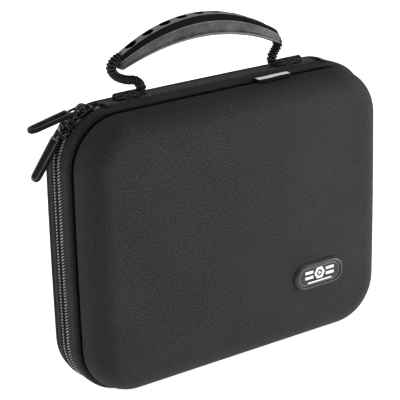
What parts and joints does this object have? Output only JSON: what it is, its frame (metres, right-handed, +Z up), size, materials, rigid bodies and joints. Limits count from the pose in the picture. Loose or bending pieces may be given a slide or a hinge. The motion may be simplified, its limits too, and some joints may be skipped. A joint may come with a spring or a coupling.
{
  "type": "carry case",
  "caption": "Hard-shell zip case for small figures, with a foam tray of square pockets, a shallow hinged lid and a curved carry handle on short webbing straps",
  "frame": {"origin": "on the ground, under the middle of the front rim band that the case stands on", "axes": "X runs along the width, +Z is up, and -Y faces the front, where the badge is"},
  "size_m": [0.2893, 0.0612, 0.2645],
  "materials": {
    "woven_nylon": "fine black woven nylon bonded to moulded foam",
    "zip_tape": "black zip tape",
    "zip_coil": "black nylon coil",
    "lining_fabric": "dark knitted lining and woven binding",
    "foam": "dark grey open-cell foam",
    "badge_plastic": "soft black moulded plastic",
    "white_print": "raised white printing",
    "white_label": "white woven label",
    "black_metal": "black painted die-cast metal",
    "pull_rubber": "matt moulded rubber",
    "grip_rubber": "satin moulded rubber",
    "webbing": "black ribbed webbing"
  },
  "bodies": {
    "base": {"front_shell": "woven_nylon", "front_rim_band": "woven_nylon", "front_zip_tape": "zip_tape", "front_zip_coil": "zip_coil", "zip_end_tabs": "zip_tape", "spine_strip": "woven_nylon", "base_lining": "lining_fabric", "base_binding": "lining_fabric", "floor_pad": "foam", "foam_tray_frame": "foam", "foam_long_strip_1": "foam", "foam_long_strip_2": "foam", "foam_cross_strips": "foam", "badge_surround": "badge_plastic", "badge_plate": "badge_plastic", "badge_emblem": "white_print", "side_label": "white_label", "strap_patch_left": "webbing", "strap_patch_right": "webbing"},
    "lid": {"back_shell": "woven_nylon", "back_rim_band": "woven_nylon", "back_zip_tape": "zip_tape", "back_zip_coil": "zip_coil", "lid_lining": "lining_fabric", "lid_binding": "lining_fabric", "lid_foam_pad": "foam"},
    "lower_slider": {"lower_slider_body": "black_metal", "lower_slider_bridge": "black_metal"},
    "lower_pull": {"lower_slider_link": "black_metal", "lower_slider_pull": "pull_rubber"},
    "upper_slider": {"upper_slider_body": "black_metal", "upper_slider_bridge": "black_metal"},
    "upper_pull": {"upper_slider_link": "black_metal", "upper_slider_pull": "pull_rubber"},
    "handle_straps": {"strap_left": "webbing", "strap_right": "webbing"},
    "handle_grip": {"grip": "grip_rubber"}
  },
  "joints": [
    {"name": "lid_hinge", "type": "hinge", "parent": "base", "child": "lid", "pos_m": [0, 0.015, 0.213], "axis": [1, 0, 0], "range_deg": [0, 95]},
    {"name": "lower_slider_travel", "type": "hinge", "parent": "base", "child": "lower_slider", "pos_m": [-0.09354, 0.0095, 0.17161], "axis": [0, -1, 0], "range_deg": [0, 36]},
    {"name": "upper_slider_travel", "type": "hinge", "parent": "base", "child": "upper_slider", "pos_m": [-0.09354, 0.0095, 0.17161], "axis": [0, 1, 0], "range_deg": [0, 4]},
    {"name": "lower_pull_swing", "type": "hinge", "parent": "lower_slider", "child": "lower_pull", "pos_m": [-0.1266, 0.0095, 0.20243], "axis": [0, 1, 0], "range_deg": [0, 38]},
    {"name": "upper_pull_swing", "type": "hinge", "parent": "upper_slider", "child": "upper_pull", "pos_m": [-0.11192, 0.0095, 0.2129], "axis": [0, 1, 0], "range_deg": [0, 120]},
    {"name": "handle_fold", "type": "hinge", "parent": "base", "child": "handle_straps", "pos_m": [0, 0.0095, 0.221], "axis": [1, 0, 0], "range_deg": [0, 88]},
    {"name": "grip_lift", "type": "slide", "parent": "handle_straps", "child": "handle_grip", "axis": [0, 0, 1], "range_m": [0, 0.007]}
  ]
}
